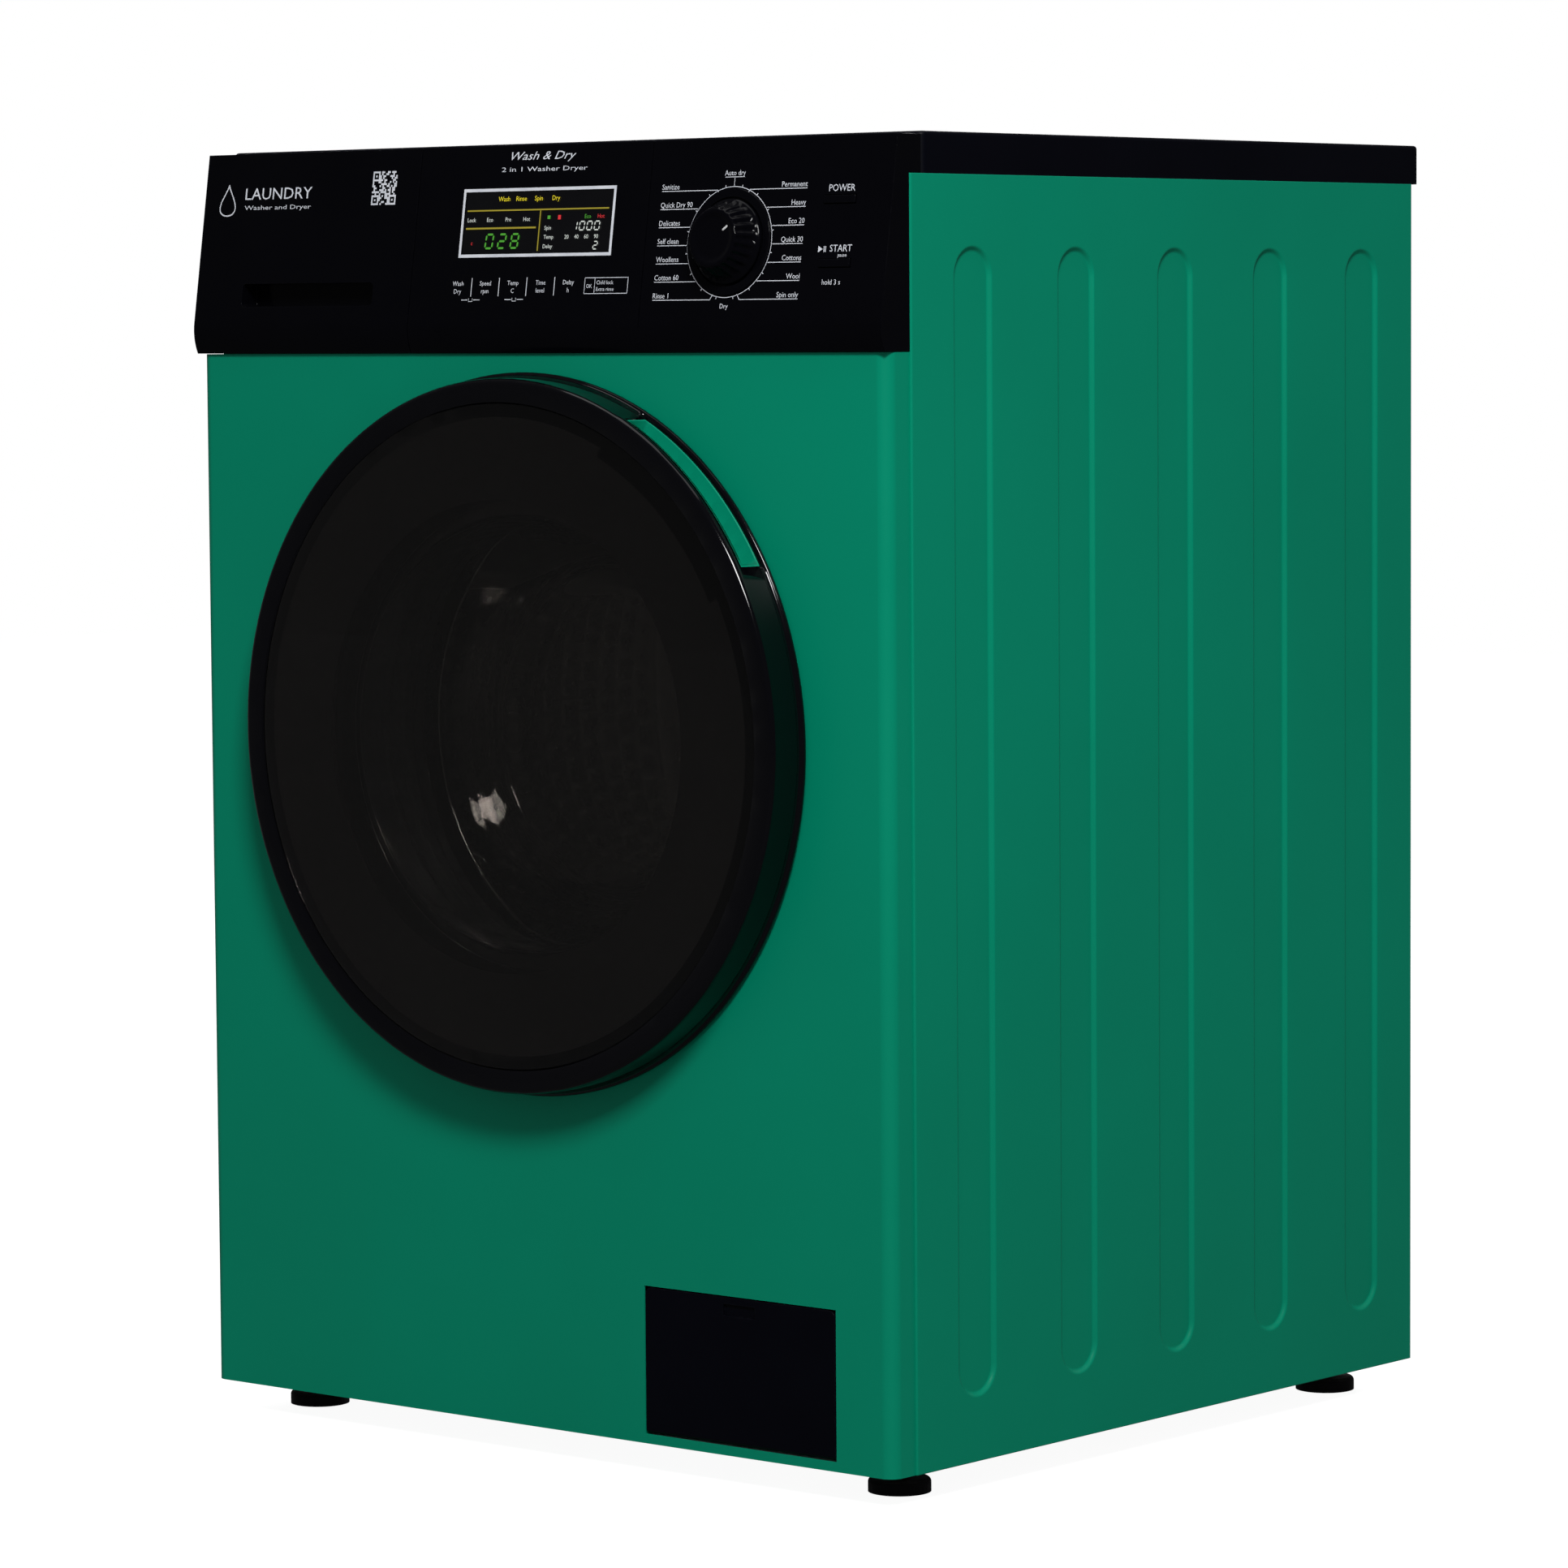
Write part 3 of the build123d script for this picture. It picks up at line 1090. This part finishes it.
def drum_spider():
    """Three-armed casting behind the drum with the drum shaft."""
    back = DRUM_BACK + SPIDER_THICK
    spider = rod_along("y", 42, DRUM_BACK, back, 0, WASH_Z)
    for k in range(3):
        arm = slab(-16, 16, DRUM_BACK, back - 6, 0, DRUM_RADIUS - 6)
        spider += Pos(0, 0, WASH_Z) * Rot(0, 120 * k, 0) * arm
    return spider + rod_along("y", SHAFT_RADIUS, back - 1, SHAFT_END, 0, WASH_Z)


def drum_paddles():
    """Three lifting paddles inside the drum."""
    inner = DRUM_RADIUS - DRUM_WALL
    chord = sqrt(inner**2 - (PADDLE_WIDTH / 2) ** 2)
    section = make_face(
        Polyline(
            [
                (-PADDLE_WIDTH / 2, chord),
                (-PADDLE_WIDTH / 2 + 3, chord - 10),
                (-8, chord - PADDLE_HEIGHT + 4),
                (-4, chord - PADDLE_HEIGHT),
                (4, chord - PADDLE_HEIGHT),
                (8, chord - PADDLE_HEIGHT + 4),
                (PADDLE_WIDTH / 2 - 3, chord - 10),
                (PADDLE_WIDTH / 2, chord),
            ],
            close=True,
        )
    )
    length = DRUM_BACK - DRUM_FRONT - 40
    bar = extrude(Plane.XZ * section, amount=-length)
    bar = Pos(0, deep(DRUM_FRONT + 26), WASH_Z) * bar
    paddles = []
    for k in range(3):
        spin = Pos(0, 0, WASH_Z) * Rot(0, 120 * k + 60, 0) * Pos(0, 0, -WASH_Z)
        paddles.append(spin * bar)
    return paddles


def grooved_pulley(radius, bore, x, z, spokes):
    """Belt pulley with a shallow groove, spoked when it is large."""
    front = PULLEY_FRONT
    back = PULLEY_FRONT + PULLEY_WIDTH
    rim = 2.0
    wheel = turned(
        [
            (bore, front),
            (radius + rim, front),
            (radius + rim, front + 2),
            (radius, front + 3),
            (radius, back - 3),
            (radius + rim, back - 2),
            (radius + rim, back),
            (bore, back),
        ],
        x,
        z,
    )
    if spokes:
        web = turned([(34, front - 1), (radius - 10, front - 1), (radius - 10, back + 1), (34, back + 1)], x, z)
        for k in range(spokes):
            arm = slab(-9, 9, front + 5, back - 5, 0, radius)
            web -= Pos(x, 0, z) * Rot(0, 360 / spokes * k, 0) * arm
        wheel -= web
    return wheel


def drive_motor():
    """Drive motor casing hung under the tub."""
    casing = rod_along("y", MOTOR_RADIUS, MOTOR_FRONT, MOTOR_BACK, MOTOR_X, MOTOR_Z)
    casing -= rod_along("y", MOTOR_SHAFT + RUN_FIT, MOTOR_BACK - 40, MOTOR_BACK + 1, MOTOR_X, MOTOR_Z)
    for depth in (MOTOR_FRONT + 40, MOTOR_BACK - 30):
        casing -= pipe("y", MOTOR_RADIUS + 1, MOTOR_RADIUS - 3, depth - 2, depth + 2, MOTOR_X, MOTOR_Z)
    return casing


def motor_pulley():
    """Motor shaft with its small belt pulley."""
    wheel = grooved_pulley(MOTOR_PULLEY, MOTOR_SHAFT, MOTOR_X, MOTOR_Z, 0)
    return wheel + rod_along("y", MOTOR_SHAFT, MOTOR_BACK - 38, PULLEY_FRONT + PULLEY_WIDTH, MOTOR_X, MOTOR_Z)


def belt_outline(grow):
    """Stadium-like loop round both pulleys, in the X-Z plane."""
    big = PULLEY_RADIUS + BELT_GAP + grow
    small = MOTOR_PULLEY + BELT_GAP + grow
    from_big = Pos(0, WASH_Z) * Circle(big)
    from_small = Pos(MOTOR_X, MOTOR_Z) * Circle(small)
    dx = MOTOR_X
    dz = MOTOR_Z - WASH_Z
    apart = sqrt(dx * dx + dz * dz)
    ux, uz = dx / apart, dz / apart
    cosine = (big - small) / apart
    sine = sqrt(1 - cosine * cosine)
    corners = []
    for centre, radius, order in (((0, WASH_Z), big, (1, -1)), ((MOTOR_X, MOTOR_Z), small, (-1, 1))):
        for side in order:
            nx = ux * cosine - side * uz * sine
            nz = uz * cosine + side * ux * sine
            corners.append((centre[0] + radius * nx, centre[1] + radius * nz))
    return from_big + from_small + make_face(Polyline(corners, close=True))


def drive_belt():
    """Flat belt round the drum pulley and the motor pulley."""
    width = PULLEY_WIDTH - 7
    start = deep(PULLEY_FRONT + 3.5)
    outer = Plane.XZ * belt_outline(BELT_THICK)
    inner = Plane.XZ * belt_outline(0)
    belt = extrude(outer, amount=-width) - extrude(inner, amount=-width)
    return Pos(0, start, 0) * belt


# ---------------------------------------------------------------- suspension
def damper_rods():
    """Two damper rods standing on the base."""
    return [
        rod_along("z", ROD_RADIUS, FOOT_HEIGHT + 12, ROD_TOP, x, DAMPER_DEPTH) for x in (-DAMPER_X, DAMPER_X)
    ]


def damper_tubes():
    """Two damper cylinders on the tub, closed at the top."""
    tubes = []
    for x in (-DAMPER_X, DAMPER_X):
        tube = rod_along("z", DAMPER_TUBE, DAMPER_LOW, DAMPER_TOP, x, DAMPER_DEPTH)
        bore = rod_along("z", ROD_RADIUS + RUN_FIT, DAMPER_LOW - 1, DAMPER_TOP - DAMPER_SHELL, x, DAMPER_DEPTH)
        tubes.append(tube - bore)
    return tubes


def suspension_springs():
    """Four tension springs from the frame's rails down to the tub ledges, as plain tubes."""
    springs = []
    for x in (-SPRING_X, SPRING_X):
        for depth in SPRING_DEPTHS:
            springs.append(
                pipe("z", SPRING_RADIUS, SPRING_RADIUS - 3, SPRING_LOW, SIDE_TOP - FRAME_SHEET, x, depth)
            )
    return springs


def panel_screws():
    """Screws that hold the rear sheet and the access cover, with domed heads."""
    face = BACK_PLATE + 2 * SHEET
    places = []
    for z in SCREW_ROWS:
        for x in (-WIDTH / 2 + SCREW_INSET, WIDTH / 2 - SCREW_INSET):
            places.append((x, z))
    middle = (ACCESS_LOW + ACCESS_HIGH) / 2
    for z in (ACCESS_LOW - ACCESS_SCREW, middle, ACCESS_HIGH + ACCESS_SCREW):
        for x in (-ACCESS_HALF - ACCESS_SCREW, ACCESS_HALF + ACCESS_SCREW):
            places.append((x, z))
    heads = []
    for x, z in places:
        head = rod_along("y", SCREW_HEAD, face, face + SCREW_PROUD, x, z)
        heads.append(chamfer(head.edges().sort_by(Axis.Y)[-1], SCREW_PROUD / 2))
    return heads


# ---------------------------------------------------------------- write every node
save("base_tray", base_tray())
save("left_side_panel", side_panel(-1))
save("right_side_panel", side_panel(1))
save("front_panel", front_panel())
save("back_panel", back_panel())
save("rear_access_cover", rear_access_cover())
save("top_frame", top_frame())
save("top_cover", top_cover())
save("panel_screws", *panel_screws())
corners = [(x, depth) for depth in FOOT_DEPTHS for x in (-FOOT_X, FOOT_X)]
for name, (x, depth) in zip(("front_left", "front_right", "rear_left", "rear_right"), corners):
    save(f"foot_{name}", foot(x, depth))

save("control_console", control_console())
save("display_module", display_module())
save("selector_switch", selector_switch())
save("selector_knob", selector_knob())
save("power_key", push_key(POWER_KEY_Z))
save("start_key", push_key(START_KEY_Z))
save("control_board", control_board())
save("drawer_front", drawer_front())
save("detergent_tray", detergent_tray())
save("siphon_cap", siphon_cap())
save("dispenser_housing", dispenser_housing())

save("inlet_valves", inlet_valves())
save("dispenser_hose", dispenser_hose())
save("drain_spout", drain_spout())
save("cord_gland", cord_gland())
save("drain_pump", drain_pump())
save("pump_impeller", pump_impeller())
save("filter_cap", filter_cap())
save("filter_cover", filter_cover())
save("sump_hose", sump_hose())

save("door_ring", door_ring())
save("door_glass", door_glass())
save("door_grip", door_grip())
save("door_inner_ring", door_inner_ring())
save("door_bowl", door_bowl())
save("door_hinge_arm", door_hinge_arm())
save("door_hook", door_hook())
save("hinge_bracket", hinge_bracket())
save("door_lock", door_lock())
save("door_gasket", door_gasket())

save("tub_front", tub_front())
save("tub_rear", tub_rear())
save("counterweights", *counterweights())
save("drum_bearings", *drum_bearings())
save("tub_heater", tub_heater())
save("drying_duct", drying_duct())
save("dryer_fan", dryer_fan())
save("drum_shell", drum_shell())
save("drum_spider", drum_spider())
save("drum_paddles", *drum_paddles())
save("drum_pulley", grooved_pulley(PULLEY_RADIUS, SHAFT_RADIUS, 0, WASH_Z, 5))
save("drive_motor", drive_motor())
save("motor_pulley", motor_pulley())
save("drive_belt", drive_belt())
save("damper_rods", *damper_rods())
save("damper_tubes", *damper_tubes())
save("suspension_springs", *suspension_springs())
print("nodes:", node_count)
